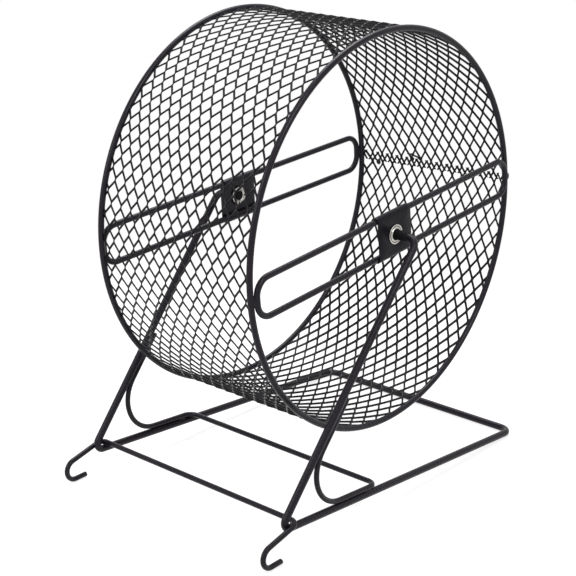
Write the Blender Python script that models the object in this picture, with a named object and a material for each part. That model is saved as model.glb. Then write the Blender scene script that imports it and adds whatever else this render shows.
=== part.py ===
"""Free-standing mesh exercise wheel for a hamster, on a wire stand with two cage hooks.

Metres, +Z up. The wheel turns about an axle along Y. The stand's rails run along X,
with the hooks at -X and the rear bar at +X. The stand stands on the undersides of its
hooks and on its rear bar, so its rails lean back a little. The origin is on the floor,
at the middle of the whole object's box.
"""
import math

import bmesh
import bpy
from mathutils import Matrix, Quaternion, Vector

# Play left between pieces that touch, weld or clip together
GAP = 0.0003

# Wheel
WHEEL_DIAMETER = 0.280
WHEEL_WIDTH = 0.141
RIM_WIRE = 0.004
WHEEL_TURN = math.radians(3.7)

# Expanded-metal running track, drawn with every second row and column of its mesh
MESH_SHEET = 0.0011
MESH_STRAND = 0.0026
MESH_CELLS_ACROSS = 7
MESH_CELLS_ROUND = 26

# The long wire loop across each side of the wheel
LOOP_WIRE = 0.004
LOOP_HEIGHT = 0.0266
LOOP_CORNER = 0.0110
LOOP_LAP = 0.0024
NEAR_LOOP_TWIST = math.radians(2.3)

# Hub: a sheet plate rolled over both wires of the loop, with a riveted eyelet
PLATE_LENGTH = 0.035
PLATE_SHEET = 0.0008
EYELET_SHEET = 0.0006
EYELET_FLANGE = 0.0145
EYELET_CURL = 0.0118
EYELET_DOME = 0.0009
CAP_DIAMETER = 0.007
CAP_INSIDE_REACH = 0.0045
CAP_END_WALL = 0.0010
CAP_END_ROUND = 0.0008

# Stand: one thick wire bent into both legs, both rails and the rear bar
FRAME_WIRE = 0.005
LEG_OFFSET = 0.0153
LEG_DRAW_IN = 0.0022
WHEEL_CLEARANCE = 0.0348
FRONT_REACH = 0.1245
REAR_REACH = 0.1400
STUB_BEND = 0.0060
FRONT_BEND = 0.0050
REAR_BEND = 0.0090

# Brace: a thinner wire welded under both legs and over both rails
BRACE_WIRE = 0.0035
BRACE_TOP_SHARE = 0.56
BRACE_BEND = 0.0265
BRACE_CROSS_AHEAD = 0.0255
BRACE_CORNER = 0.0070

# Hook wire: across the rails, then forward along their outer sides into two hooks
HOOK_WIRE = 0.0035
HOOK_CROSS_SETBACK = 0.0125
HOOK_CORNER = 0.0060
HOOK_ARM_REACH = 0.0272
HOOK_ARM_SLOPE = math.radians(18.0)
HOOK_RADIUS = 0.0074
HOOK_TAIL = 0.0095
HOOK_TAIL_RISE = math.radians(2.0)

# How finely round things are drawn
FRAME_SIDES = 12
WIRE_SIDES = 8
RIM_STATIONS = 60
BEND_STEP = math.radians(16.0)
TURNED_SEGMENTS = 24

# Sizes that follow from the ones above
wheel_radius = WHEEL_DIAMETER / 2
rim_radius = wheel_radius - RIM_WIRE / 2
rim_y = WHEEL_WIDTH / 2 - RIM_WIRE / 2
loop_y = rim_y + LOOP_LAP
weld_reach = (RIM_WIRE + LOOP_WIRE) / 2 + GAP
loop_half_length = rim_radius - math.sqrt(weld_reach ** 2 - LOOP_LAP ** 2)
plate_inner_y = loop_y + LOOP_WIRE / 2 + GAP
plate_outer_y = plate_inner_y + PLATE_SHEET
eyelet_outer_y = plate_outer_y + GAP + EYELET_DOME
leg_top_y = eyelet_outer_y + LEG_OFFSET + FRAME_WIRE / 2
rail_y = leg_top_y - LEG_DRAW_IN
rail_z = -(wheel_radius + WHEEL_CLEARANCE)
cap_bore = FRAME_WIRE / 2 + GAP
eyelet_bore = CAP_DIAMETER / 2 + GAP
plate_hole = eyelet_bore + EYELET_SHEET + GAP
brace_seat = (FRAME_WIRE + BRACE_WIRE) / 2 + GAP
hook_seat = (FRAME_WIRE + HOOK_WIRE) / 2 + GAP
hook_cross_x = HOOK_CROSS_SETBACK - FRONT_REACH
hook_z = rail_z + hook_seat

# Middle of each hook's curl, in the stand's own frame with its rails level
hook_top = Vector((
    hook_cross_x - HOOK_ARM_REACH,
    0,
    hook_z - HOOK_ARM_REACH * math.tan(HOOK_ARM_SLOPE),
))
hook_middle = hook_top + HOOK_RADIUS * Vector((math.sin(HOOK_ARM_SLOPE), 0, -math.cos(HOOK_ARM_SLOPE)))


def flat_radius(wire, sides):
    """Distance from a drawn wire's middle to its flats."""
    return wire / 2 * math.cos(math.pi / sides)


def stand_lean():
    """Angle that sets the hooks' undersides and the rear bar's on one level."""
    along = REAR_REACH - hook_middle.x
    up = hook_middle.z - rail_z
    hook_drop = HOOK_RADIUS + flat_radius(HOOK_WIRE, WIRE_SIDES)
    drop = hook_drop - flat_radius(FRAME_WIRE, FRAME_SIDES)
    return math.asin(drop / math.hypot(along, up)) - math.atan2(up, along)


LEAN = stand_lean()
lean_turn = Matrix.Rotation(LEAN, 3, "Y")


def clear_scene():
    for old in list(bpy.data.objects):
        bpy.data.objects.remove(old, do_unlink=True)


def material(name, color, roughness, metallic):
    made = bpy.data.materials.new(name)
    made.use_nodes = True
    shader = made.node_tree.nodes["Principled BSDF"]
    shader.inputs["Base Color"].default_value = (*color, 1)
    shader.inputs["Roughness"].default_value = roughness
    shader.inputs["Metallic"].default_value = metallic
    return made


def make_object(name, bm, finish, smooth_angle=40):
    """Turn a bmesh into a named object whose origin is the wheel's hub."""
    bmesh.ops.recalc_face_normals(bm, faces=bm.faces)
    mesh = bpy.data.meshes.new(name)
    bm.to_mesh(mesh)
    bm.free()
    mesh.materials.append(finish)
    mesh.shade_smooth()
    mesh.set_sharp_from_angle(angle=math.radians(smooth_angle))
    made = bpy.data.objects.new(name, mesh)
    bpy.context.scene.collection.objects.link(made)
    return made


def bent_path(corners, bends):
    """Points along a wire through corners, each inner corner rounded to its bend radius."""
    path = [corners[0]]
    for before, corner, after, radius in zip(corners, corners[1:], corners[2:], bends):
        back = (before - corner).normalized()
        ahead = (after - corner).normalized()
        turn = math.pi - back.angle(ahead)
        setback = radius * math.tan(turn / 2)
        bisector = (back + ahead).normalized()
        centre = corner + bisector * math.hypot(setback, radius)
        start = corner + back * setback - centre
        axis = start.cross(-back).normalized()
        steps = max(2, math.ceil(turn / BEND_STEP))
        for step in range(steps + 1):
            path.append(centre + Quaternion(axis, turn * step / steps) @ start)
    path.append(corners[-1])
    return path


def wire_bmesh(path, diameter, sides, facing, closed=False, start=0):
    """Sweep a round wire along path. At the point called start, one of its flats faces facing."""
    count = len(path)
    tangents = []
    for index, point in enumerate(path):
        before = path[index - 1] if closed or index > 0 else point
        after = path[(index + 1) % count] if closed or index < count - 1 else point
        one = (point - before).normalized() if point != before else None
        two = (after - point).normalized() if after != point else None
        tangents.append(((one or two) + (two or one)).normalized())
    normals = [None] * count
    first = Vector(facing)
    normals[start] = (first - tangents[start] * first.dot(tangents[start])).normalized()
    ahead = [(i - 1, i) for i in range(start + 1, count)]
    back = [(i + 1, i) for i in range(start - 1, -1, -1)]
    for source, target in ahead + back:
        swing = tangents[source].rotation_difference(tangents[target])
        normals[target] = (swing @ normals[source]).normalized()
    bm = bmesh.new()
    rings = []
    for index, point in enumerate(path):
        tangent, normal = tangents[index], normals[index]
        side = tangent.cross(normal)
        # A mitred ring keeps the wire's thickness through a bend
        before = path[index - 1] if closed or index > 0 else None
        stretch = 1.0
        bend_out = None
        if before is not None and (closed or index < count - 1):
            one = (point - before).normalized()
            half = min(1.0, max(-1.0, one.dot(tangent)))
            stretch = 1 / max(half, 0.5)
            turn_side = one - tangent * one.dot(tangent)
            bend_out = turn_side.normalized() if turn_side.length > 1e-6 else None
        ring = []
        for corner in range(sides):
            angle = (corner + 0.5) * math.tau / sides
            arm = normal * math.cos(angle) + side * math.sin(angle)
            if bend_out is not None:
                arm += bend_out * arm.dot(bend_out) * (stretch - 1)
            ring.append(bm.verts.new(point + arm * diameter / 2))
        rings.append(ring)
    pairs = list(zip(rings, rings[1:]))
    if closed:
        pairs.append((rings[-1], rings[0]))
    for ring, following in pairs:
        for corner in range(sides):
            beside = (corner + 1) % sides
            bm.faces.new((ring[corner], ring[beside], following[beside], following[corner]))
    if not closed:
        bm.faces.new(rings[0])
        bm.faces.new(rings[-1])
    return bm


def on_wheel(radius, angle, y):
    """A point by its distance from the axle, its angle up from +X, and its place along the axle."""
    return Vector((radius * math.cos(angle), y, radius * math.sin(angle)))


def leaned(points):
    """Turn points of the stand from its own level frame to how it stands."""
    return [lean_turn @ point for point in points]


def mirrored(half):
    """A wire's points on the near side, followed by the same points on the far side."""
    return half + [Vector((p.x, -p.y, p.z)) for p in reversed(half)]


def make_rim(name, y, finish):
    angles = [WHEEL_TURN + math.tau * i / RIM_STATIONS for i in range(RIM_STATIONS)]
    path = [on_wheel(rim_radius, angle, y) for angle in angles]
    return make_object(name, wire_bmesh(path, RIM_WIRE, WIRE_SIDES, (0, 1, 0), closed=True), finish)


def make_mesh_band(finish):
    """One expanded-metal strip bent round: a net of diamonds, inset, opened and thickened."""
    half_width = rim_y - RIM_WIRE / 2 - GAP
    rows = 2 * MESH_CELLS_ACROSS
    columns = 2 * MESH_CELLS_ROUND
    bm = bmesh.new()
    knots = {}
    for row in range(rows + 1):
        for column in range(row % 2, columns, 2):
            angle = WHEEL_TURN + math.tau * column / columns
            y = half_width * (2 * row / rows - 1)
            knots[row, column] = bm.verts.new(on_wheel(rim_radius, angle, y))
    for row in range(rows + 1):
        for column in range((row + 1) % 2, columns, 2):
            around = ((row - 1, column), (row, column + 1), (row + 1, column), (row, column - 1))
            corners = [knots[r, c % columns] for r, c in around if (r, c % columns) in knots]
            bm.faces.new(corners)
    bmesh.ops.recalc_face_normals(bm, faces=bm.faces)
    cells = list(bm.faces)
    bmesh.ops.inset_individual(bm, faces=cells, thickness=MESH_STRAND / 2, use_even_offset=True)
    bmesh.ops.delete(bm, geom=cells, context="FACES")
    band = make_object("mesh_band", bm, finish, smooth_angle=30)
    wall = band.modifiers.new("sheet", "SOLIDIFY")
    wall.thickness = MESH_SHEET
    wall.offset = 0
    wall.use_even_offset = False
    return band


def make_loop(name, side, angle, finish):
    """The closed loop of wire across one side, its rounded ends lapped on the rim."""
    along = on_wheel(1, angle, 0)
    across = on_wheel(1, angle + math.pi / 2, 0)
    out = Vector((0, side * loop_y, 0))
    half_height = LOOP_HEIGHT / 2
    ends = ((1, 1), (-1, 1), (-1, -1), (1, -1))
    corners = [out + along * loop_half_length * x + across * half_height * z for x, z in ends]
    middle = (corners[0] + corners[3]) / 2
    path = bent_path([middle, *corners, middle], [LOOP_CORNER] * len(corners))[:-1]
    return make_object(name, wire_bmesh(path, LOOP_WIRE, WIRE_SIDES, (0, 1, 0), closed=True), finish)


def make_plate(name, side, angle, finish):
    """A flat web outside the loop, with its top and bottom edges rolled right round the wires."""
    inner_roll = LOOP_WIRE / 2 + GAP
    outer_roll = inner_roll + PLATE_SHEET
    half_height = LOOP_HEIGHT / 2
    arc = [math.pi * step / 6 for step in range(7)]
    outer = [(loop_y + outer_roll * math.cos(a), half_height + outer_roll * math.sin(a)) for a in arc]
    inner = [(loop_y + inner_roll * math.cos(a), half_height + inner_roll * math.sin(a)) for a in reversed(arc)]
    upper = outer + inner
    lower = [(y, -z) for y, z in reversed(upper)]
    outline = upper + lower
    along = on_wheel(1, angle, 0)
    across = on_wheel(1, angle + math.pi / 2, 0)
    bm = bmesh.new()
    start = -along * PLATE_LENGTH / 2
    ring = [bm.verts.new(start + Vector((0, side * y, 0)) + across * z) for y, z in outline]
    face = bm.faces.new(ring)
    grown = bmesh.ops.extrude_face_region(bm, geom=[face])
    moved = [part for part in grown["geom"] if isinstance(part, bmesh.types.BMVert)]
    bmesh.ops.translate(bm, verts=moved, vec=along * PLATE_LENGTH)
    plate = make_object(name, bm, finish)
    cutter = turned(name + "_hole", [
        (0, plate_inner_y - PLATE_SHEET),
        (plate_hole, plate_inner_y - PLATE_SHEET),
        (plate_hole, plate_outer_y + PLATE_SHEET),
        (0, plate_outer_y + PLATE_SHEET),
    ], side, finish, open_profile=True)
    cutter.hide_render = True
    cutter.display_type = "WIRE"
    cut = plate.modifiers.new("axle hole", "BOOLEAN")
    cut.operation = "DIFFERENCE"
    cut.solver = "EXACT"
    cut.object = cutter
    return plate


def turned(name, profile, side, finish, open_profile=False):
    """Spin a profile of (radius, distance along the axle) points right round the axle."""
    bm = bmesh.new()
    points = [bm.verts.new((radius, side * y, 0)) for radius, y in profile]
    pairs = list(zip(points, points[1:]))
    if not open_profile:
        pairs.append((points[-1], points[0]))
    edges = [bm.edges.new(pair) for pair in pairs]
    bmesh.ops.spin(
        bm, geom=points + edges, cent=(0, 0, 0), axis=(0, 1, 0), angle=math.tau,
        steps=TURNED_SEGMENTS, use_merge=True,
    )
    bmesh.ops.remove_doubles(bm, verts=bm.verts, dist=GAP / 100)
    return make_object(name, bm, finish)


def make_eyelet(name, side, finish):
    """A rivet eyelet: a domed flange outside, a barrel through the plate, a curled end inside."""
    barrel = eyelet_bore + EYELET_SHEET
    flange = EYELET_FLANGE / 2
    curl = EYELET_CURL / 2
    seat_out = plate_outer_y + GAP
    seat_in = plate_inner_y - GAP
    dome_radius = (eyelet_bore + flange) / 2
    profile = [
        (barrel, seat_in),
        (barrel, seat_out),
        (flange, seat_out),
        (flange, seat_out + EYELET_SHEET / 2),
        (dome_radius, seat_out + EYELET_DOME),
        (barrel, seat_out + EYELET_DOME),
        (eyelet_bore, seat_out + EYELET_DOME / 2),
        (eyelet_bore, seat_in - EYELET_DOME / 2),
        (barrel, seat_in - EYELET_DOME),
        (curl, seat_in - EYELET_DOME),
        (curl, seat_in),
    ]
    return turned(name, profile, side, finish)


def make_axle_cap(name, side, finish):
    """A plastic sleeve with a closed end, pushed over the end of the stand's wire."""
    outer = CAP_DIAMETER / 2
    closed_end = plate_inner_y - CAP_INSIDE_REACH
    open_end = leg_top_y - STUB_BEND
    profile = [
        (0, closed_end),
        (outer - CAP_END_ROUND, closed_end),
        (outer, closed_end + CAP_END_ROUND),
        (outer, open_end),
        (cap_bore, open_end),
        (cap_bore, closed_end + CAP_END_WALL),
        (0, closed_end + CAP_END_WALL),
    ]
    return turned(name, profile, side, finish, open_profile=True)


def make_stand_frame(finish):
    """Axle stub, leg, rail and rear bar, then the same again on the far side, in one wire."""
    stub_end = plate_inner_y - CAP_INSIDE_REACH + CAP_END_WALL + GAP
    half = [
        Vector((0, -stub_end, 0)),
        Vector((0, -leg_top_y, 0)),
        Vector((-FRONT_REACH, -rail_y, rail_z)),
        Vector((REAR_REACH, -rail_y, rail_z)),
    ]
    bends = [STUB_BEND, FRONT_BEND, REAR_BEND]
    path = leaned(bent_path(mirrored(half), bends + bends[::-1]))
    bar = len(path) // 2
    bm = wire_bmesh(path, FRAME_WIRE, FRAME_SIDES, (0, 0, -1), start=bar)
    return make_object("stand_frame", bm, finish)


def make_brace(finish):
    """Down under each leg, round onto the rail, and across from rail to rail."""
    leg = Vector((-FRONT_REACH, 0, rail_z)).normalized()
    under = Vector((-leg.z, 0, leg.x)) * brace_seat
    top_z = rail_z * BRACE_TOP_SHARE
    floor_z = rail_z + brace_seat
    top = under + leg * ((top_z - under.z) / leg.z)
    foot = under + leg * ((floor_z - under.z) / leg.z)
    top_y = leg_top_y - LEG_DRAW_IN * BRACE_TOP_SHARE
    half = [
        Vector((top.x, -top_y, top.z)),
        Vector((foot.x, -rail_y, foot.z)),
        Vector((-BRACE_CROSS_AHEAD, -rail_y, floor_z)),
    ]
    bends = [BRACE_BEND, BRACE_CORNER]
    path = leaned(bent_path(mirrored(half), bends + bends[::-1]))
    bm = wire_bmesh(path, BRACE_WIRE, WIRE_SIDES, (0, 0, -1), start=len(path) // 2)
    return make_object("brace_wire", bm, finish)


def hook_path():
    """Half of the hook wire, from the tip of the near hook to the bend over the rail."""
    arm_y = -(rail_y + hook_seat)
    first = math.pi + HOOK_ARM_SLOPE
    last = math.tau + HOOK_TAIL_RISE + LEAN
    lowest = math.tau + LEAN
    steps = math.ceil((lowest - first) / BEND_STEP)
    headings = [first + (lowest - first) * step / steps for step in range(steps + 1)]
    headings.append(last)
    curl = [
        hook_middle + HOOK_RADIUS * Vector((math.sin(h), 0, -math.cos(h))) for h in headings
    ]
    tip = curl[-1] + HOOK_TAIL * Vector((math.cos(last), 0, math.sin(last)))
    points = [tip, *reversed(curl)]
    for point in points:
        point.y = arm_y
    return points


def make_hook_wire(finish):
    """Across both rails, bent forward outside them, each end curled down and back."""
    points = hook_path()
    corner = Vector((hook_cross_x, -(rail_y + hook_seat), hook_z))
    bend = bent_path([points[-1], corner, Vector((hook_cross_x, 0, hook_z))], [HOOK_CORNER])
    half = points + bend[1:-1]
    path = leaned(mirrored(half))
    facing = lean_turn @ Vector((math.sin(HOOK_ARM_SLOPE), 0, -math.cos(HOOK_ARM_SLOPE)))
    bm = wire_bmesh(path, HOOK_WIRE, WIRE_SIDES, facing, start=len(half))
    return make_object("hook_wire", bm, finish)


def stand_on_floor(pieces):
    """Move everything so that the floor and the middle of the object's box meet the origin."""
    corners = [piece.data.vertices[i].co for piece in pieces for i in range(len(piece.data.vertices))]
    front = min(corner.x for corner in corners)
    back = max(corner.x for corner in corners)
    floor = min(corner.z for corner in corners)
    for piece in bpy.context.scene.objects:
        piece.location = (-(front + back) / 2, 0, -floor)


def main():
    clear_scene()
    black_coat = material("black_powder_coat", (0.030, 0.030, 0.034), 0.45, 0.0)
    mesh_coat = material("black_coated_mesh", (0.022, 0.022, 0.025), 0.50, 0.0)
    nickel = material("nickel_plate", (0.72, 0.70, 0.66), 0.25, 1.0)
    plastic = material("black_plastic", (0.014, 0.014, 0.015), 0.40, 0.0)
    pieces = [make_mesh_band(mesh_coat)]
    for word, side, twist in (("near", -1, NEAR_LOOP_TWIST), ("far", 1, 0)):
        angle = WHEEL_TURN + twist
        pieces.append(make_rim(word + "_rim", side * rim_y, black_coat))
        pieces.append(make_loop(word + "_crossbar", side, angle, black_coat))
        pieces.append(make_plate(word + "_hub_plate", side, angle, black_coat))
        pieces.append(make_eyelet(word + "_eyelet", side, nickel))
        pieces.append(make_axle_cap(word + "_axle_cap", side, plastic))
    pieces.append(make_stand_frame(black_coat))
    pieces.append(make_brace(black_coat))
    pieces.append(make_hook_wire(black_coat))
    stand_on_floor(pieces)


main()
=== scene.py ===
"""Looks of a hamster's exercise wheel: expanded-metal track, wire rims and a bent-wire stand.

Metres, +Z up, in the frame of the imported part. Wheel pieces are made about the hub with the
wheel upright. Stand pieces are made about the hub with the rails level, then leaned back.
"""
import math

import bmesh
import bpy
from mathutils import Matrix, Vector, noise


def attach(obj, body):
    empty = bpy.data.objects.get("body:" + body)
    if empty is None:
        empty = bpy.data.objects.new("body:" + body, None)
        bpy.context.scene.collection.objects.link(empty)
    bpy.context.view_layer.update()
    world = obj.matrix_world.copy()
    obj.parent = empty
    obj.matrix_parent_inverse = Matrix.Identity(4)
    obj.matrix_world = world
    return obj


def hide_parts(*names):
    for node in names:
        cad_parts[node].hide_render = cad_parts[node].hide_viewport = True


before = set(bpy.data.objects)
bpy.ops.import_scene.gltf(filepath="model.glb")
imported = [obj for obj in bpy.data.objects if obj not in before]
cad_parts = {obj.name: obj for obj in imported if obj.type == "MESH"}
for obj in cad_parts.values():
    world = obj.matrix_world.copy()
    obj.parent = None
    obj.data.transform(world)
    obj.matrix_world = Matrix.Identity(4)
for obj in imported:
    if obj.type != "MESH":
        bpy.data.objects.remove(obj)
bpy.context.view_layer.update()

# Where the axle is, how far the stand leans back, and the play left where pieces meet
HUB = Vector((0.008978, 0, 0.185904))
LEAN = math.radians(3.7071)
SEAT = 0.0003

# Wheel
RIM_RADIUS = 0.138
RIM_Y = 0.0685
RIM_WIRE = 0.004
# How far round the wheel is turned at rest, and how much further its near loop was welded on
WHEEL_TURN = math.radians(3.7)
NEAR_LOOP_TWIST = math.radians(2.3)
# The word for each side in names, the side along Y, and the twist of its loop
WHEEL_SIDES = (("near", -1, NEAR_LOOP_TWIST), ("far", 1, 0))

# Expanded metal: the sheet, its strands, and the size of one mesh from bond to bond
SHEET = 0.00088
STRAND = 0.00111
LONG_WAY = 0.01633
SHORT_WAY = 0.00965
BOND = 0.0018
BOND_EXTRA = 0.00012
STRAND_TILT = math.radians(38)
STRAND_EDGE_ROUNDING = 0.00016

# The strip cut from it, and where one of its first bonds lies along the rim and along the axle
STRIP_SLANT = math.radians(2.35)
STRIP_START = -0.0141
STRIP_START_SLOPE = 0.004
STRIP_END = 0.85748
STRIP_EDGE = 0.0674
FIRST_BOND = Vector((0.0200, 0.00504, 0))
# The sheet was stretched unevenly: its rows lean more and more to halfway round, then less again.
# Each change of lean is followed by where it begins and ends along the strip
LEAN_CHANGES = ((-0.022, 0, 0.42), (0.056, 0.50, 0.74))
# Its strands are wider over one stretch
WIDE_SHARE = 0.30
WIDE_STRETCH = (0.665, 0.815)
WIDE_EASE = 0.035
# Its last meshes are pulled aside, onward and askew, to bring the two ends together
END_PULL_ASIDE = -0.0031
END_PULL_ON = 0.0014
END_PULL_LEAN = -0.018
END_PULL_REACH = 0.050
END_PULL_MARGIN = 0.012
# Where they overlap, the first end lies this far outside the rims' line and the last end inside it
SEAM_LIFT = 0.00062
SEAM_EASE = 0.026
# The shears squashed the bonds of the last row, which they cut through
TIP_SPREAD = 0.00058

# Cross loops and hub plates
LOOP_WIRE = 0.004
LOOP_Y = 0.0709
LOOP_HALF_LENGTH = 0.13443
LOOP_HALF_HEIGHT = 0.0133
LOOP_CORNER = 0.0110
PLATE_LENGTH = 0.035
PLATE_SHEET = 0.0008
PLATE_HOLE = 0.0047
PLATE_ROLL = math.radians(186)
PLATE_EDGE_ROUNDING = 0.0002

# Eyelets, split inside into petals, with a groove pressed round the flange
EYELET_BORE = 0.0038
EYELET_SHEET = 0.0006
EYELET_TURN = math.radians(-12)
EYELET_EDGE_ROUNDING = 0.00012
PETALS = 4
PETAL_GAP = math.radians(14)
GROOVE_RADIUS = 0.00566
# The painted shade in the groove begins to thin this far from its middle line, and ends this far
# from it
GROOVE_SHADE = (0.0001, 0.0004)

# Stand
FRAME_WIRE = 0.005
THIN_WIRE = 0.0035
LEG_TOP_Y = 0.0930
RAIL_Y = 0.0908
RAIL_Z = -0.1748
STUB_END = 0.0726
FRONT_REACH = 0.1245
REAR_REACH = 0.1400
STUB_BEND = 0.0075
FRONT_BEND = 0.0050
REAR_BEND = 0.0090
THIN_SEAT = (FRAME_WIRE + THIN_WIRE) / 2 + SEAT
# The brace starts this share of the way down the leg
BRACE_TOP_SHARE = 0.56
BRACE_BEND = 0.0265
BRACE_CROSS_X = -0.0255
BRACE_CORNER = 0.0070
HOOK_CROSS_X = -0.1120
HOOK_ARM_REACH = 0.0272
HOOK_ARM_SLOPE = math.radians(18)
HOOK_RADIUS = 0.0074
HOOK_CORNER = 0.0060
HOOK_TAIL = 0.0095
HOOK_TAIL_RISE = math.radians(2)

# Sleeves on the axle stubs
SLEEVE_RADIUS = 0.0035
SLEEVE_CLOSED_END = 0.0714
SLEEVE_OPEN_END = LEG_TOP_Y - STUB_BEND - 0.0002
SLEEVE_CORNER = 0.0008
SLEEVE_END_WALL = 0.0010

# Half sizes of weld beads: along the line where two wires touch, from wire to wire, and sideways
LOOP_BEAD = (0.0042, 0.0016, 0.0021)
BRACE_TOP_BEAD = (0.0046, 0.0012, 0.0017)
BRACE_TOP_BEAD_DROP = 0.006
BRACE_FOOT_BEAD = (0.0040, 0.0012, 0.0017)
BRACE_FOOT_BEAD_SETBACK = 0.010
HOOK_BEAD = (0.0019, 0.0013, 0.0019)
# Spots that hold the two ends of the mesh strip together: along the rim, along the axle, radius
SEAM_SPOTS = ((0.0032, 0.0512, 0.0022), (0.0112, 0.0174, 0.0018), (0.0052, -0.0290, 0.0008))
SEAM_SPOT_FLATNESS = 0.6
SEAM_SPOT_DEPTH = 0.0002
# A drop of weld metal that ran out beside the near loop's rear end: radius, angle and Y, then size
WELD_DROP_PLACE = (RIM_RADIUS + 0.0011, 0.0124 / RIM_RADIUS, -RIM_Y - 0.0010)
WELD_DROP = (0.0030, 0.0014, 0.0016)
# Molten metal sets a little lumpy, and no two beads alike
LUMP_HEIGHT = 0.10
LUMPS_IN_RADIUS = 1.7
LUMP_SHIFT = 900

# Strands torn off the strip's end at its weld: points along the rim and along the axle
TORN_STRANDS = (
    ((0.0158, 0.0212), (0.0150, 0.0192), (0.0156, 0.0168), (0.0164, 0.0148)),
    ((0.0104, 0.0176), (0.0134, 0.0178), (0.0148, 0.0158), (0.0140, 0.0110), (0.0108, 0.0071)),
)
TORN_STRAND = 0.0012
TORN_STRAND_BEND = 0.0010
TORN_STRAND_DEPTH = 0.0013

# The powder coat on every wire, which also closes the seats left between welded wires
COAT = 0.00012
# Cut ends are rounded by this share of the wire's thickness
CUT_ROUNDING = 0.12

# How finely round things are drawn
BEND_STEP = math.radians(7)
RIM_STEPS = 192
TURNED_STEPS = 64
WIRE_SIDES = 20
FRAME_WIRE_SIDES = 24
TORN_STRAND_SIDES = 8
PLATE_HOLE_SIDES = 48
PLATE_ROLL_STEPS = 14
PETAL_STEPS = 10

# Points closer than the first of these are one, and the second is smaller than anything made
MERGE = 0.00002
TINY = 0.000001

# The round wires reach a little lower than the solids' flats, so the floor lies lower too
FLOOR_DROP = 0.0003

# The floor's own glow, and the distances from the middle between which its shadow fades out
PAPER_GLOW = 0.79
SHADOW_FADE = (0.24, 0.62)
# The surround looks plain white, at strength 1, and lights things at this strength
SURROUND_LIGHT = 0.24

# The patterns in the finishes are given as so many to the metre
# Thicker and thinner powder, 22 mm across
POWDER_PATCHES = 45
# Orange peel is really about 1 mm across and is drawn at 1.6 mm so that it shows
ORANGE_PEEL = 625
# Pits in nickel are really finer and are drawn at 0.7 mm so that they show
NICKEL_PITS = 1400
# Smears left on the nickel by the press, 2.4 mm across
NICKEL_SMEARS = 420
# Places where the dipped polythene ran, 3.8 mm across
POLYTHENE_RUNS = 260
# Most of a pattern's values lie between these
NOISE_LOW = 0.3
NOISE_HIGH = 0.7


# Materials

def linear(hex_colour):
    """A colour written as sRGB hex, in the linear values that a shader takes."""
    parts = [int(hex_colour[i:i + 2], 16) / 255 for i in (1, 3, 5)]
    return (*[p / 12.92 if p <= 0.04045 else ((p + 0.055) / 1.055) ** 2.4 for p in parts], 1)


def add(tree, kind, sockets=(), **settings):
    """Add a node, set it, and give its sockets values or links."""
    made = tree.nodes.new(kind)
    for name, value in settings.items():
        setattr(made, name, value)
    for socket, value in dict(sockets).items():
        if isinstance(value, bpy.types.NodeSocket):
            tree.links.new(value, made.inputs[socket])
        else:
            made.inputs[socket].default_value = value
    return made


def new_material(name):
    """A new material with its node tree and its main shader."""
    made = bpy.data.materials.new(name)
    made.use_nodes = True
    tree = made.node_tree
    return made, tree, tree.nodes["Principled BSDF"]


def wire_up(tree, shader, colour, roughness, relief):
    """Link a finish's colour, roughness and relief to its shader."""
    tree.links.new(colour.outputs["Result"], shader.inputs["Base Color"])
    tree.links.new(roughness.outputs["Result"], shader.inputs["Roughness"])
    tree.links.new(relief.outputs["Normal"], shader.inputs["Normal"])


def powder_coat(name, thick, thin, roughness, peel_height, shine):
    """Polyester powder baked on steel: satin black, a little uneven, with orange peel."""
    made, tree, shader = new_material(name)
    place = add(tree, "ShaderNodeTexCoord").outputs["Object"]
    # Powder lies thicker and darker in some places, over a few centimetres
    patches = add(tree, "ShaderNodeTexNoise", {
        "Vector": place, "Scale": POWDER_PATCHES, "Detail": 3, "Roughness": 0.6,
    })
    colour = add(tree, "ShaderNodeMix", {
        "Factor": patches.outputs["Fac"], "A": linear(thick), "B": linear(thin),
    }, data_type="RGBA")
    peel = add(tree, "ShaderNodeTexNoise", {
        "Vector": place, "Scale": ORANGE_PEEL, "Detail": 2, "Roughness": 0.5,
    })
    sheen = add(tree, "ShaderNodeMapRange", {
        "Value": peel.outputs["Fac"], "From Min": NOISE_LOW, "From Max": NOISE_HIGH,
        "To Min": roughness[0], "To Max": roughness[1],
    })
    relief = add(tree, "ShaderNodeBump", {
        "Strength": 0.5, "Distance": peel_height, "Height": peel.outputs["Fac"],
    })
    wire_up(tree, shader, colour, sheen, relief)
    shader.inputs["IOR"].default_value = 1.5
    shader.inputs["Specular IOR Level"].default_value = shine
    return made


def out_of_painted_groove_shade(tree, place):
    """1 on an eyelet's clean metal, 0 where shade is painted in the groove pressed round its flange.
    """
    from_hub = add(tree, "ShaderNodeVectorMath", {0: place, 1: HUB}, operation="SUBTRACT")
    across = add(tree, "ShaderNodeVectorMath", {
        0: from_hub.outputs["Vector"], 1: (1, 0, 1),
    }, operation="MULTIPLY")
    radius = add(tree, "ShaderNodeVectorMath", {0: across.outputs["Vector"]}, operation="LENGTH")
    gap = add(tree, "ShaderNodeMath", {
        0: radius.outputs["Value"], 1: GROOVE_RADIUS,
    }, operation="SUBTRACT")
    beside = add(tree, "ShaderNodeMath", {0: gap.outputs["Value"]}, operation="ABSOLUTE")
    out_of_groove = add(tree, "ShaderNodeMapRange", {
        "Value": beside.outputs["Value"], "From Min": GROOVE_SHADE[0], "From Max": GROOVE_SHADE[1],
    })
    # The petals on the inner side have no groove
    parts = add(tree, "ShaderNodeSeparateXYZ", {"Vector": from_hub.outputs["Vector"]})
    outwards = add(tree, "ShaderNodeMath", {0: parts.outputs["Y"]}, operation="ABSOLUTE")
    inner_side = add(tree, "ShaderNodeMath", {
        0: outwards.outputs["Value"], 1: LOOP_Y + LOOP_WIRE / 2,
    }, operation="LESS_THAN")
    return add(tree, "ShaderNodeMath", {
        0: out_of_groove.outputs["Result"], 1: inner_side.outputs["Value"],
    }, operation="MAXIMUM").outputs["Value"]


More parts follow.
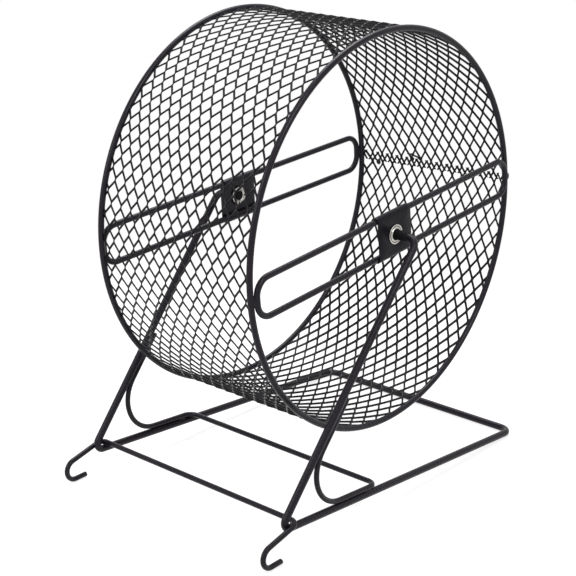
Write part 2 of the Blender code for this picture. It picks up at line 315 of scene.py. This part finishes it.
def nickel_plate():
    """Bright nickel on pressed steel: warm, smeared by the press and a little pitted, with painted
    shade in the groove round its flange.
    """
    made, tree, shader = new_material("bright_nickel_plate")
    place = add(tree, "ShaderNodeTexCoord").outputs["Object"]
    pits = add(tree, "ShaderNodeTexNoise", {
        "Vector": place, "Scale": NICKEL_PITS, "Detail": 3, "Roughness": 0.65,
    })
    smear = add(tree, "ShaderNodeTexNoise", {
        "Vector": place, "Scale": NICKEL_SMEARS, "Detail": 2, "Roughness": 0.5,
    })
    bare = add(tree, "ShaderNodeMix", {
        "Factor": smear.outputs["Fac"], "A": linear("#8e8a85"), "B": linear("#e6e3dd"),
    }, data_type="RGBA")
    # In the flange's groove the metal is painted dark grey as shade
    colour = add(tree, "ShaderNodeMix", {
        "Factor": out_of_painted_groove_shade(tree, place), "A": linear("#3a3836"), "B": bare.outputs["Result"],
    }, data_type="RGBA")
    rub = add(tree, "ShaderNodeMapRange", {
        "Value": pits.outputs["Fac"], "From Min": NOISE_LOW, "From Max": NOISE_HIGH,
        "To Min": 0.16, "To Max": 0.36,
    })
    relief = add(tree, "ShaderNodeBump", {
        "Strength": 0.6, "Distance": 0.0002, "Height": pits.outputs["Fac"],
    })
    wire_up(tree, shader, colour, rub, relief)
    shader.inputs["Metallic"].default_value = 1
    return made


def black_polythene():
    """Dipped polythene sleeve: dead black and smooth, with a soft waxy sheen."""
    made, tree, shader = new_material("black_polythene_sleeve")
    place = add(tree, "ShaderNodeTexCoord").outputs["Object"]
    flow = add(tree, "ShaderNodeTexNoise", {
        "Vector": place, "Scale": POLYTHENE_RUNS, "Detail": 2, "Roughness": 0.5,
    })
    colour = add(tree, "ShaderNodeMix", {
        "Factor": flow.outputs["Fac"], "A": linear("#131214"), "B": linear("#19181a"),
    }, data_type="RGBA")
    sheen = add(tree, "ShaderNodeMapRange", {
        "Value": flow.outputs["Fac"], "From Min": NOISE_LOW, "From Max": NOISE_HIGH,
        "To Min": 0.62, "To Max": 0.76,
    })
    relief = add(tree, "ShaderNodeBump", {
        "Strength": 0.3, "Distance": 0.0001, "Height": flow.outputs["Fac"],
    })
    wire_up(tree, shader, colour, sheen, relief)
    shader.inputs["IOR"].default_value = 1.51
    shader.inputs["Specular IOR Level"].default_value = 0.1
    return made


# Ways of working that several pieces share

def finish_piece(name, bm, finish, body, node, smooth_angle=45):
    """Make a bmesh a piece that rides on a body and may stand for a CAD node."""
    bmesh.ops.recalc_face_normals(bm, faces=bm.faces)
    mesh = bpy.data.meshes.new(name)
    bm.to_mesh(mesh)
    bm.free()
    mesh.materials.append(finish)
    mesh.shade_smooth()
    mesh.set_sharp_from_angle(angle=math.radians(smooth_angle))
    piece = bpy.data.objects.new(name, mesh)
    bpy.context.scene.collection.objects.link(piece)
    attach(piece, body)
    if node:
        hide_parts(node)
    return piece


def thicken(piece, thickness):
    """Give a sheet its thickness, half of it to each side."""
    wall = piece.modifiers.new("sheet", "SOLIDIFY")
    wall.thickness = thickness
    wall.offset = 0
    return wall


def round_edges(piece, width, segments=2, angle=50):
    """Soften the edges where faces meet at more than an angle."""
    soft = piece.modifiers.new("rounded edges", "BEVEL")
    soft.width = width
    soft.segments = segments
    soft.limit_method = "ANGLE"
    soft.angle_limit = math.radians(angle)


def on_wheel(radius, angle, y):
    """A point by its distance from the axle, its angle up from +X, and its place along the axle."""
    return Vector((radius * math.cos(angle), y, radius * math.sin(angle)))


def turn_loop(angle):
    """The turn that sets a piece, made level about the hub, at its angle on the wheel."""
    return Matrix.Translation(HUB) @ Matrix.Rotation(-angle, 4, "Y")


# The turn that leans back a piece of the stand, made about the hub with its rails level
STAND_PLACE = Matrix.Translation(HUB) @ Matrix.Rotation(LEAN, 4, "Y")


def form_wire(corners, radii, diameter, sides=WIRE_SIDES, cut_start=True, cut_end=True):
    """Run a round wire from corner to corner, bending it round each one as a wire former does."""
    bm = bmesh.new()
    heading = (corners[1] - corners[0]).normalized()
    section = bmesh.ops.create_circle(bm, segments=sides, radius=diameter / 2 + COAT)["verts"]
    stand_up = Vector((0, 0, 1)).rotation_difference(heading).to_matrix().to_4x4()
    bmesh.ops.transform(bm, matrix=Matrix.Translation(corners[0]) @ stand_up, verts=section)
    first = bm.edges[:]
    ring = first
    place = corners[0]

    def draw_out(ring, step):
        grown = bmesh.ops.extrude_edge_only(bm, edges=ring)["geom"]
        moved = [part for part in grown if isinstance(part, bmesh.types.BMVert)]
        bmesh.ops.translate(bm, verts=moved, vec=step)
        return [
            part for part in grown
            if isinstance(part, bmesh.types.BMEdge) and all(v in moved for v in part.verts)
        ]

    for before, corner, after, radius in zip(corners, corners[1:], corners[2:], radii):
        back = (before - corner).normalized()
        ahead = (after - corner).normalized()
        turn = math.pi - back.angle(ahead)
        setback = radius * math.tan(turn / 2)
        bend_start = corner + back * setback
        ring = draw_out(ring, bend_start - place)
        inward = (ahead - back * ahead.dot(back)).normalized()
        bent = bmesh.ops.spin(
            bm, geom=ring, cent=bend_start + inward * radius, axis=(-back).cross(inward),
            angle=turn, steps=max(3, math.ceil(turn / BEND_STEP)),
        )["geom_last"]
        ring = [part for part in bent if isinstance(part, bmesh.types.BMEdge)]
        place = corner + ahead * setback
    ring = draw_out(ring, corners[-1] - place)
    for wanted, end in ((cut_start, first), (cut_end, ring)):
        if wanted:
            bmesh.ops.holes_fill(bm, edges=end)
            bmesh.ops.bevel(
                bm, geom=end, offset=diameter * CUT_ROUNDING, segments=2, profile=0.5,
                affect="EDGES", material=-1,
            )
    return bm


def mirror_side(bm):
    """Copy the near half of a stand wire to the far side, joined at the middle."""
    near = bm.verts[:] + bm.edges[:] + bm.faces[:]
    bmesh.ops.mirror(bm, geom=near, axis="Y", merge_dist=MERGE)
    return bm


def turn_profile(profile, side, open_profile=False):
    """Spin a profile of (radius, distance along the axle) points right round the axle."""
    bm = bmesh.new()
    points = [bm.verts.new((radius, side * y, 0)) for radius, y in profile]
    pairs = list(zip(points, points[1:]))
    if not open_profile:
        pairs.append((points[-1], points[0]))
    edges = [bm.edges.new(pair) for pair in pairs]
    bmesh.ops.spin(
        bm, geom=points + edges, cent=(0, 0, 0), axis=(0, 1, 0), angle=math.tau,
        steps=TURNED_STEPS, use_merge=True,
    )
    bmesh.ops.remove_doubles(bm, verts=bm.verts, dist=MERGE)
    return bm


# The wheel

def make_rim(name, side, finish):
    """A ring of 4 mm wire."""
    bm = bmesh.new()
    radius = RIM_WIRE / 2 + COAT
    section = bmesh.ops.create_circle(bm, segments=WIRE_SIDES, radius=radius)["verts"]
    bmesh.ops.translate(bm, verts=section, vec=(RIM_RADIUS, side * RIM_Y, 0))
    # The circle is drawn flat in X and Y, which is square to the rim where it starts
    bmesh.ops.spin(
        bm, geom=bm.verts[:] + bm.edges[:], cent=(0, 0, 0), axis=(0, 1, 0), angle=math.tau,
        steps=RIM_STEPS, use_merge=True,
    )
    bmesh.ops.remove_doubles(bm, verts=bm.verts, dist=MERGE)
    bmesh.ops.translate(bm, verts=bm.verts, vec=HUB)
    return finish_piece(name + "_wire", bm, finish, "wheel", name)


def ease(share):
    """A share held between 0 and 1 and made smooth at both."""
    share = min(1.0, max(0.0, share))
    return share * share * (3 - 2 * share)


def on_wide_stretch(along):
    """1 where the strands are wide, easing to 0 at both ends of their stretch."""
    start, end = WIDE_STRETCH
    return ease((along - start) / WIDE_EASE) * ease((end - along) / WIDE_EASE)


def expand_sheet():
    """Slit and stretch a sheet of metal, larger all round than the strip that is cut from it."""
    bm = bmesh.new()
    half_row = LONG_WAY / 2
    tip = half_row - BOND / 2
    # One mesh: two long points along the strip and a bond on each side
    cell = [
        bm.verts.new(point) for point in (
            (tip, 0, 0), (BOND / 2, SHORT_WAY / 2, 0), (-BOND / 2, SHORT_WAY / 2, 0),
            (-tip, 0, 0), (-BOND / 2, -SHORT_WAY / 2, 0), (BOND / 2, -SHORT_WAY / 2, 0),
        )
    ]
    bm.faces.new(cell)
    first_column = -12
    more_columns = 20
    more_pairs_of_rows = 54
    bmesh.ops.translate(
        bm, verts=bm.verts, vec=(-2 * half_row, (first_column + 0.5) * SHORT_WAY, 0),
    )
    for count, step in (
        (more_columns, (0, SHORT_WAY, 0)),
        (1, (half_row, -SHORT_WAY / 2, 0)),
        (more_pairs_of_rows, (LONG_WAY, 0, 0)),
    ):
        bmesh.ops.spin(
            bm, geom=bm.verts[:] + bm.edges[:] + bm.faces[:], cent=(0, 0, 0), axis=(0, 0, 1),
            dvec=step, angle=0, steps=count, use_duplicate=True,
        )
    bmesh.ops.remove_doubles(bm, verts=bm.verts, dist=MERGE)
    cells = bm.faces[:]
    bmesh.ops.inset_individual(bm, faces=cells, thickness=STRAND / 2, use_even_offset=True)
    # Stretching tips every strand the same way: its far edge sinks towards the axle
    slope = math.tan(STRAND_TILT)
    for face in cells:
        for corner in face.verts:
            spoke = next(edge for edge in corner.link_edges if face not in edge.link_faces)
            middle = spoke.other_vert(corner).co
            corner.co += (corner.co - middle) * WIDE_SHARE * on_wide_stretch(middle.x)
            aside = corner.co.y - middle.y
            if abs(aside) > STRAND / 4:
                corner.co.y += math.copysign(BOND_EXTRA, aside)
            corner.co.z = -slope * (corner.co.y - middle.y)
    bmesh.ops.delete(bm, geom=cells, context="FACES")
    return bm


def trim(bm, point, outwards):
    """Cut off all that lies outwards of a point."""
    bmesh.ops.bisect_plane(
        bm, geom=bm.verts[:] + bm.edges[:] + bm.faces[:], plane_co=point, plane_no=outwards,
        clear_outer=True, dist=TINY,
    )


def cut_strip(bm):
    """Cut the strip from the sheet, its long edges at a slant to the meshes."""
    # The first end is cut just past a row of bonds, and the last end through one
    trim(bm, (STRIP_START, 0, 0), (-1, -STRIP_START_SLOPE, 0))
    trim(bm, (STRIP_END, 0, 0), (1, 0, 0))
    for vert in bm.verts:
        if vert.co.x > STRIP_END - MERGE:
            bond = (math.floor(vert.co.y / SHORT_WAY) + 0.5) * SHORT_WAY
            aside = vert.co.y - bond
            if abs(aside) > STRAND / 4:
                vert.co.y += math.copysign(TIP_SPREAD, aside)
    bmesh.ops.rotate(bm, verts=bm.verts, matrix=Matrix.Rotation(STRIP_SLANT, 3, "Z"))
    bmesh.ops.translate(bm, verts=bm.verts, vec=FIRST_BOND)
    trim(bm, (0, -STRIP_EDGE, 0), (0, -1, 0))
    trim(bm, (0, STRIP_EDGE, 0), (0, 1, 0))


def roll_up(bm):
    """Roll the flat strip round the wheel, with its uneven rows and its overlapping ends."""
    start = FIRST_BOND.x + STRIP_START
    end = FIRST_BOND.x + STRIP_END
    for vert in bm.verts:
        along, y, rise = vert.co
        for change, begins, ends in LEAN_CHANGES:
            along += change * y * ease((along - begins) / (ends - begins))
        pull = 1 - ease((end - along) / END_PULL_REACH)
        along += (END_PULL_ON + END_PULL_LEAN * y) * pull
        y += END_PULL_ASIDE * pull * ease((STRIP_EDGE - abs(y)) / END_PULL_MARGIN)
        rise += SEAM_LIFT * (1 - ease((along - start) / SEAM_EASE))
        rise -= SEAM_LIFT * (1 - ease((end - along) / SEAM_EASE))
        vert.co = HUB + on_wheel(RIM_RADIUS + rise, along / RIM_RADIUS, y)


def make_track(finish):
    """The running track: a strip of expanded metal rolled up between the rims."""
    bm = expand_sheet()
    cut_strip(bm)
    roll_up(bm)
    piece = finish_piece("mesh_track", bm, finish, "wheel", "mesh_band", 40)
    thicken(piece, SHEET).use_even_offset = False
    round_edges(piece, STRAND_EDGE_ROUNDING, segments=1, angle=55)
    return piece


def make_cross_loop(name, side, twist, finish):
    """A closed loop of wire, long across the wheel, with its round ends lapped on the rim."""
    ends = ((1, 1), (-1, 1), (-1, -1), (1, -1))
    corners = [Vector((x * LOOP_HALF_LENGTH, side * LOOP_Y, z * LOOP_HALF_HEIGHT)) for x, z in ends]
    joint = (corners[0] + corners[1]) / 2
    bm = form_wire(
        [joint, *corners[1:], corners[0], joint], [LOOP_CORNER] * 4, LOOP_WIRE,
        cut_start=False, cut_end=False,
    )
    bmesh.ops.remove_doubles(bm, verts=bm.verts, dist=MERGE)
    bm.transform(turn_loop(WHEEL_TURN + twist))
    return finish_piece(name + "_wire", bm, finish, "wheel", name)


def make_hub_plate(name, side, twist, finish):
    """A punched plate laid over the loop, with both long edges rolled right round its wires."""
    bm = bmesh.new()
    web_y = LOOP_Y + LOOP_WIRE / 2 + SEAT + PLATE_SHEET / 2
    half_length = PLATE_LENGTH / 2
    hole = bmesh.ops.create_circle(bm, segments=PLATE_HOLE_SIDES, radius=PLATE_HOLE)["verts"]
    bmesh.ops.rotate(bm, verts=hole, matrix=Matrix.Rotation(math.pi / 2, 3, "X"))
    bmesh.ops.translate(bm, verts=hole, vec=(0, side * web_y, 0))
    grown = bmesh.ops.extrude_edge_only(bm, edges=bm.edges[:])["geom"]
    outline = [part for part in grown if isinstance(part, bmesh.types.BMVert)]
    # The ring grown from the hole is drawn out to the plate's straight sides
    for vert in outline:
        x, z = vert.co.x, vert.co.z
        reach = min(half_length / max(abs(x), TINY), LOOP_HALF_HEIGHT / max(abs(z), TINY))
        vert.co.x, vert.co.z = x * reach, z * reach
    for sx in (-1, 1):
        for sz in (-1, 1):
            corner = Vector((sx * half_length, side * web_y, sz * LOOP_HALF_HEIGHT))
            nearest = min(outline, key=lambda vert: (vert.co - corner).length)
            nearest.co = corner
    for up in (-1, 1):
        lip = [
            edge for edge in bm.edges
            if all(abs(vert.co.z - up * LOOP_HALF_HEIGHT) < MERGE for vert in edge.verts)
        ]
        bmesh.ops.spin(
            bm, geom=lip, cent=(0, side * LOOP_Y, up * LOOP_HALF_HEIGHT), axis=(side * up, 0, 0),
            angle=PLATE_ROLL, steps=PLATE_ROLL_STEPS,
        )
    bm.transform(turn_loop(WHEEL_TURN + twist))
    clip = name.replace("hub_plate", "hub_clip")
    piece = finish_piece(clip, bm, finish, "wheel", name)
    thicken(piece, PLATE_SHEET)
    round_edges(piece, PLATE_EDGE_ROUNDING)
    return piece


def make_eyelet(name, side, finish):
    """A rivet eyelet: a pressed flange with a raised lip outside, split into petals inside."""
    barrel = EYELET_BORE + EYELET_SHEET
    inner = LOOP_Y + LOOP_WIRE / 2
    outer = inner + SEAT + PLATE_SHEET + SEAT
    bm = turn_profile([
        (barrel, inner),
        (barrel, outer),
        (0.00680, outer),
        (0.00696, outer + 0.00012),
        (0.00688, outer + 0.00036),
        (0.00660, outer + 0.00054),
        (0.00624, outer + 0.00056),
        (0.00594, outer + 0.00040),
        (GROOVE_RADIUS, outer + 0.00018),
        (0.00540, outer + 0.00028),
        (0.00514, outer + 0.00066),
        (0.00486, outer + 0.00098),
        (0.00450, outer + 0.00110),
        (0.00415, outer + 0.00094),
        (EYELET_BORE, outer + 0.00058),
        (EYELET_BORE, inner - 0.0004),
        (barrel, inner - 0.0009),
        (barrel + 0.0004, inner - 0.0008),
        (barrel + 0.0004, inner),
    ], side)
    # Each petal is a rounded rib swept a little way round, and one is repeated for them all
    flange = set(bm.verts)
    petal_section = [
        bm.verts.new((radius, side * y, 0)) for radius, y in (
            (barrel + 0.0001, inner - 0.0009),
            (barrel + 0.0008, inner - 0.0013),
            (barrel + 0.0016, inner - 0.0014),
            (barrel + 0.0023, inner - 0.0011),
            (barrel + 0.0026, inner - 0.0006),
            (barrel + 0.0023, inner - 0.0002),
            (barrel + 0.0001, inner - 0.0001),
        )
    ]
    bmesh.ops.spin(
        bm, geom=[bm.faces.new(petal_section)], cent=(0, 0, 0), axis=(0, 1, 0),
        angle=math.tau / PETALS - PETAL_GAP, steps=PETAL_STEPS,
    )
    petal = [vert for vert in bm.verts if vert not in flange]
    petal += [part for part in (*bm.edges, *bm.faces) if flange.isdisjoint(part.verts)]
    bmesh.ops.spin(
        bm, geom=petal, cent=(0, 0, 0), axis=(0, 1, 0),
        angle=math.tau * (PETALS - 1) / PETALS, steps=PETALS - 1, use_duplicate=True,
    )
    bm.transform(turn_loop(EYELET_TURN))
    piece = finish_piece(name + "_rivet", bm, finish, "wheel", name)
    round_edges(piece, EYELET_EDGE_ROUNDING)
    return piece


# The stand

def make_axle_sleeve(name, side, finish):
    """A dipped sleeve on the axle stub, round at its closed end and thinning out on the wire."""
    bore = FRAME_WIRE / 2 + COAT + 0.00005
    lip = bore + 0.0003
    turns = [math.radians(15 * step) for step in range(7)]
    bm = turn_profile([
        (0, SLEEVE_CLOSED_END),
        *[
            (
                SLEEVE_RADIUS - SLEEVE_CORNER * (1 - math.sin(turn)),
                SLEEVE_CLOSED_END + SLEEVE_CORNER * (1 - math.cos(turn)),
            )
            for turn in turns
        ],
        (SLEEVE_RADIUS, SLEEVE_OPEN_END - 0.0072),
        (SLEEVE_RADIUS - 0.00005, SLEEVE_OPEN_END - 0.0046),
        (lip + 0.0001, SLEEVE_OPEN_END - 0.0012),
        (lip, SLEEVE_OPEN_END - 0.0002),
        (lip - 0.0002, SLEEVE_OPEN_END),
        (bore + 0.00002, SLEEVE_OPEN_END),
        (bore, SLEEVE_OPEN_END - 0.0002),
        (bore, SLEEVE_CLOSED_END + SLEEVE_END_WALL),
        (0, SLEEVE_CLOSED_END + SLEEVE_END_WALL),
    ], side, open_profile=True)
    bm.transform(STAND_PLACE)
    return finish_piece(name.replace("cap", "sleeve"), bm, finish, "stand", name)


def make_stand_wire(finish):
    """Axle stub, leg, rail and half of the rear bar, then the same on the far side."""
    corners = [
        Vector((0, -STUB_END, 0)),
        Vector((0, -LEG_TOP_Y, 0)),
        Vector((-FRONT_REACH, -RAIL_Y, RAIL_Z)),
        Vector((REAR_REACH, -RAIL_Y, RAIL_Z)),
        Vector((REAR_REACH, 0, RAIL_Z)),
    ]
    bends = [STUB_BEND, FRONT_BEND, REAR_BEND]
    bm = form_wire(corners, bends, FRAME_WIRE, FRAME_WIRE_SIDES, cut_end=False)
    mirror_side(bm).transform(STAND_PLACE)
    return finish_piece("stand_wire", bm, finish, "stand", "stand_frame")


def brace_line():
    """Corners of the brace's near half, from its cut top down the leg and across to the middle."""
    leg = Vector((-FRONT_REACH, 0, RAIL_Z)).normalized()
    under = Vector((-leg.z, 0, leg.x)) * THIN_SEAT
    floor_z = RAIL_Z + THIN_SEAT
    top = under + leg * ((RAIL_Z * BRACE_TOP_SHARE - under.z) / leg.z)
    foot = under + leg * ((floor_z - under.z) / leg.z)
    top_y = LEG_TOP_Y - (LEG_TOP_Y - RAIL_Y) * BRACE_TOP_SHARE
    return [
        Vector((top.x, -top_y, top.z)),
        Vector((foot.x, -RAIL_Y, foot.z)),
        Vector((BRACE_CROSS_X, -RAIL_Y, floor_z)),
        Vector((BRACE_CROSS_X, 0, floor_z)),
    ]


def make_brace(finish):
    """One thin wire down under the near leg, across under the wheel, and up the far leg."""
    bm = form_wire(brace_line(), [BRACE_BEND, BRACE_CORNER], THIN_WIRE, cut_end=False)
    mirror_side(bm).transform(STAND_PLACE)
    return finish_piece("brace", bm, finish, "stand", "brace_wire")


def make_hooks(finish):
    """One wire over both rails, bent forward outside them and curled down into two hooks."""
    slope = HOOK_ARM_SLOPE
    crossing = Vector((HOOK_CROSS_X, -(RAIL_Y + THIN_SEAT), RAIL_Z + THIN_SEAT))
    arm_end = crossing - HOOK_ARM_REACH * Vector((1, 0, math.tan(slope)))
    middle = arm_end + HOOK_RADIUS * Vector((math.sin(slope), 0, -math.cos(slope)))
    # Headings of the wire where the curl starts and where it ends
    first = math.pi + slope
    last = math.tau + HOOK_TAIL_RISE + LEAN
    halfway = (first + last) / 2
    corner_reach = HOOK_RADIUS / math.cos((last - first) / 2)
    far_corner = middle + corner_reach * Vector((math.sin(halfway), 0, -math.cos(halfway)))
    curl_end = middle + HOOK_RADIUS * Vector((math.sin(last), 0, -math.cos(last)))
    tip = curl_end + HOOK_TAIL * Vector((math.cos(last), 0, math.sin(last)))
    corners = [tip, far_corner, crossing, Vector((crossing.x, 0, crossing.z))]
    bm = form_wire(corners, [HOOK_RADIUS, HOOK_CORNER], THIN_WIRE, cut_end=False)
    mirror_side(bm).transform(STAND_PLACE)
    return finish_piece("hooks", bm, finish, "stand", "hook_wire")


# Welds and torn strands

def weld_bead(bm, place, along, across, size):
    """A bead of weld metal between two wires: along their touching line, flat across it."""
    made = bmesh.ops.create_icosphere(bm, subdivisions=3, radius=1)["verts"]
    z_axis = along.cross(across).normalized()
    turn = Matrix((along.normalized(), across.normalized(), z_axis)).transposed().to_4x4()
    for vert in made:
        vert.co *= 1 + LUMP_HEIGHT * noise.noise(vert.co * LUMPS_IN_RADIUS + place * LUMP_SHIFT)
    bmesh.ops.scale(bm, verts=made, vec=size)
    bmesh.ops.transform(bm, matrix=Matrix.Translation(place) @ turn, verts=made)


def make_wheel_welds(finish):
    """The welds of loops to rims and of the strip's two ends, all in one piece."""
    bm = bmesh.new()
    for _, side, twist in WHEEL_SIDES:
        for end in (-1, 1):
            turn = Matrix.Rotation(-(WHEEL_TURN + twist), 3, "Y")
            rim = turn @ Vector((end * RIM_RADIUS, side * RIM_Y, 0))
            loop = turn @ Vector((end * LOOP_HALF_LENGTH, side * LOOP_Y, 0))
            weld_bead(bm, (rim + loop) / 2, turn @ Vector((0, 0, 1)), rim - loop, LOOP_BEAD)
    for along, y, size in SEAM_SPOTS:
        place = on_wheel(RIM_RADIUS - SEAM_SPOT_DEPTH, along / RIM_RADIUS, y)
        spot = (size, size * SEAM_SPOT_FLATNESS, size)
        weld_bead(bm, place, Vector((0, 1, 0)), place.normalized(), spot)
    weld_bead(bm, on_wheel(*WELD_DROP_PLACE), Vector((0, 0, 1)), Vector((1, 0, 0)), WELD_DROP)
    bmesh.ops.translate(bm, verts=bm.verts, vec=HUB)
    return finish_piece("wheel_welds", bm, finish, "wheel", None)


def make_loose_strands(finish):
    """Two strands torn off the strip's end where it was welded, bent over the meshes."""
    bm = bmesh.new()
    depth = RIM_RADIUS - TORN_STRAND_DEPTH
    for line in TORN_STRANDS:
        corners = [HUB + on_wheel(depth, along / RIM_RADIUS, y) for along, y in line]
        bends = [TORN_STRAND_BEND] * (len(corners) - 2)
        strand = form_wire(corners, bends, TORN_STRAND, TORN_STRAND_SIDES)
        mesh = bpy.data.meshes.new("strand")
        strand.to_mesh(mesh)
        strand.free()
        bm.from_mesh(mesh)
        bpy.data.meshes.remove(mesh)
    return finish_piece("loose_strands", bm, finish, "wheel", None)


def make_stand_welds(finish):
    """The welds of brace to legs and rails and of hooks to rails, all in one piece."""
    bm = bmesh.new()
    top, foot, _, _ = brace_line()
    down = (foot - top).normalized()
    leg = Vector((-FRONT_REACH, 0, RAIL_Z)).normalized()
    to_leg = Vector((leg.z, 0, -leg.x))
    forward = Vector((1, 0, 0))
    up = Vector((0, 0, 1))
    on_rail = RAIL_Z + FRAME_WIRE / 2 + SEAT / 2
    for side in (-1, 1):
        flip = Vector((1, -side, 1))
        at_leg = (top + down * BRACE_TOP_BEAD_DROP + to_leg * THIN_SEAT / 2) * flip
        weld_bead(bm, at_leg, down * flip, to_leg, BRACE_TOP_BEAD)
        at_rail = Vector((BRACE_CROSS_X - BRACE_FOOT_BEAD_SETBACK, side * RAIL_Y, on_rail))
        weld_bead(bm, at_rail, forward, up, BRACE_FOOT_BEAD)
        at_hook = Vector((HOOK_CROSS_X, side * RAIL_Y, on_rail))
        weld_bead(bm, at_hook, forward, up, HOOK_BEAD)
    bm.transform(STAND_PLACE)
    return finish_piece("stand_welds", bm, finish, "stand", None)


# Floor, light and camera

def seen_or_reflected(tree):
    """1 for rays from the camera or by way of metal or glass, 0 for the light on things."""
    rays = add(tree, "ShaderNodeLightPath")
    by_way = add(tree, "ShaderNodeMath", {
        0: rays.outputs["Is Glossy Ray"], 1: rays.outputs["Is Transmission Ray"],
    }, operation="MAXIMUM")
    return add(tree, "ShaderNodeMath", {
        0: rays.outputs["Is Camera Ray"], 1: by_way.outputs["Value"],
    }, operation="MAXIMUM").outputs["Value"]


def white_paper():
    """White paper that keeps the soft shadow, glows to plain white, and sends some light back up."""
    made, tree, shader = new_material("white_paper_floor")
    shader.inputs["Base Color"].default_value = linear("#b0b0b0")
    shader.inputs["Roughness"].default_value = 1
    shader.inputs["Specular IOR Level"].default_value = 0
    glow = add(tree, "ShaderNodeEmission", {"Color": (1, 1, 1, 1), "Strength": PAPER_GLOW})
    near = add(tree, "ShaderNodeAddShader", {0: shader.outputs["BSDF"], 1: glow.outputs["Emission"]})
    # Away from the object the shadow has faded, and the paper is the plain white of the backdrop
    place = add(tree, "ShaderNodeTexCoord").outputs["Object"]
    distance = add(tree, "ShaderNodeVectorMath", {0: place}, operation="LENGTH")
    fade = add(tree, "ShaderNodeMapRange", {
        "Value": distance.outputs["Value"], "From Min": SHADOW_FADE[0], "From Max": SHADOW_FADE[1],
    }, interpolation_type="SMOOTHSTEP")
    white = add(tree, "ShaderNodeEmission", {"Color": (1, 1, 1, 1), "Strength": 1.0})
    paper = add(tree, "ShaderNodeMixShader", {
        "Fac": fade.outputs["Result"], 1: near.outputs["Shader"], 2: white.outputs["Emission"],
    })
    bounce = add(tree, "ShaderNodeBsdfDiffuse", {"Color": linear("#d4d4d4")})
    choice = add(tree, "ShaderNodeMixShader", {
        "Fac": seen_or_reflected(tree), 1: bounce.outputs["BSDF"], 2: paper.outputs["Shader"],
    })
    tree.links.new(choice.outputs["Shader"], tree.nodes["Material Output"].inputs["Surface"])
    return made


def make_floor():
    """A floor that reaches far past the picture."""
    bm = bmesh.new()
    bmesh.ops.create_grid(bm, x_segments=1, y_segments=1, size=6)
    bmesh.ops.translate(bm, verts=bm.verts, vec=(0, 0, -FLOOR_DROP))
    mesh = bpy.data.meshes.new("floor")
    bm.to_mesh(mesh)
    bm.free()
    mesh.materials.append(white_paper())
    floor = bpy.data.objects.new("floor", mesh)
    bpy.context.scene.collection.objects.link(floor)


def make_light():
    """A white surround, dimmer for the light it gives than for the eye, and three softboxes."""
    world = bpy.data.worlds.new("studio")
    bpy.context.scene.world = world
    world.use_nodes = True
    tree = world.node_tree
    strength = add(tree, "ShaderNodeMapRange", {
        "Value": seen_or_reflected(tree), "To Min": SURROUND_LIGHT, "To Max": 1.0,
    })
    background = tree.nodes["Background"]
    background.inputs["Color"].default_value = (1, 1, 1, 1)
    tree.links.new(strength.outputs["Result"], background.inputs["Strength"])
    target = Vector((0, 0, 0.16))
    for name, place, size, watts in (
        ("key_softbox", Vector((-0.55, -1.25, 1.55)), 0.7, 10.5),
        ("fill_softbox", Vector((-1.5, 0.3, 0.9)), 0.7, 6),
        ("rear_softbox", Vector((0.45, 0.40, 1.55)), 0.9, 20),
    ):
        lamp = bpy.data.lights.new(name, "AREA")
        lamp.shape = "SQUARE"
        lamp.size = size
        lamp.energy = watts
        softbox = bpy.data.objects.new(name, lamp)
        softbox.location = place
        softbox.rotation_euler = (target - place).to_track_quat("-Z", "Y").to_euler()
        bpy.context.scene.collection.objects.link(softbox)


def make_camera():
    """The photograph's own view, fitted to the wires and the rims."""
    data = bpy.data.cameras.new("photo_camera")
    data.sensor_width = 36
    data.lens = 94.77
    data.shift_x = -0.0008
    data.shift_y = 0.0008
    data.clip_start = 0.05
    data.clip_end = 50
    camera = bpy.data.objects.new("photo_camera", data)
    camera.location = (-0.7702, -0.6772, 0.4859)
    azimuth = math.radians(-48.041)
    elevation = math.radians(19.030)
    back = Vector((
        math.sin(azimuth) * math.cos(elevation),
        -math.cos(azimuth) * math.cos(elevation),
        math.sin(elevation),
    ))
    camera.rotation_euler = back.to_track_quat("Z", "Y").to_euler()
    bpy.context.scene.collection.objects.link(camera)
    bpy.context.scene.camera = camera


def main():
    # One black paint: glossiest on the wires, darkest on the mesh and dullest on the near plate,
    # whose darker copy of the coat is painted shade
    wire_coat = powder_coat(
        "black_powder_coat", thick="#1c181f", thin="#27222b",
        roughness=(0.22, 0.32), peel_height=0.00010, shine=0.18,
    )
    track_coat = powder_coat(
        "black_mesh_powder_coat", thick="#0e0c10", thin="#16141a",
        roughness=(0.26, 0.38), peel_height=0.00008, shine=0.14,
    )
    # A darker, duller copy of the coat for the near plate only: painted shade
    shaded_plate_coat = powder_coat(
        "black_plate_coat_painted_shade", thick="#1a181e", thin="#222026",
        roughness=(0.26, 0.36), peel_height=0.00010, shine=0.09,
    )
    nickel = nickel_plate()
    polythene = black_polythene()
    make_track(track_coat)
    for word, side, twist in WHEEL_SIDES:
        # The near plate takes the darker copy as painted shade; the far plate, the same sheet, takes
        # the wire coat
        plate_coat = shaded_plate_coat if word == "near" else wire_coat
        make_rim(word + "_rim", side, wire_coat)
        make_cross_loop(word + "_crossbar", side, twist, wire_coat)
        make_hub_plate(word + "_hub_plate", side, twist, plate_coat)
        make_eyelet(word + "_eyelet", side, nickel)
        make_axle_sleeve(word + "_axle_cap", side, polythene)
    make_stand_wire(wire_coat)
    make_brace(wire_coat)
    make_hooks(wire_coat)
    make_wheel_welds(wire_coat)
    make_loose_strands(track_coat)
    make_stand_welds(wire_coat)
    make_floor()
    make_light()
    make_camera()
    bpy.context.scene.view_settings.view_transform = "Standard"


main()
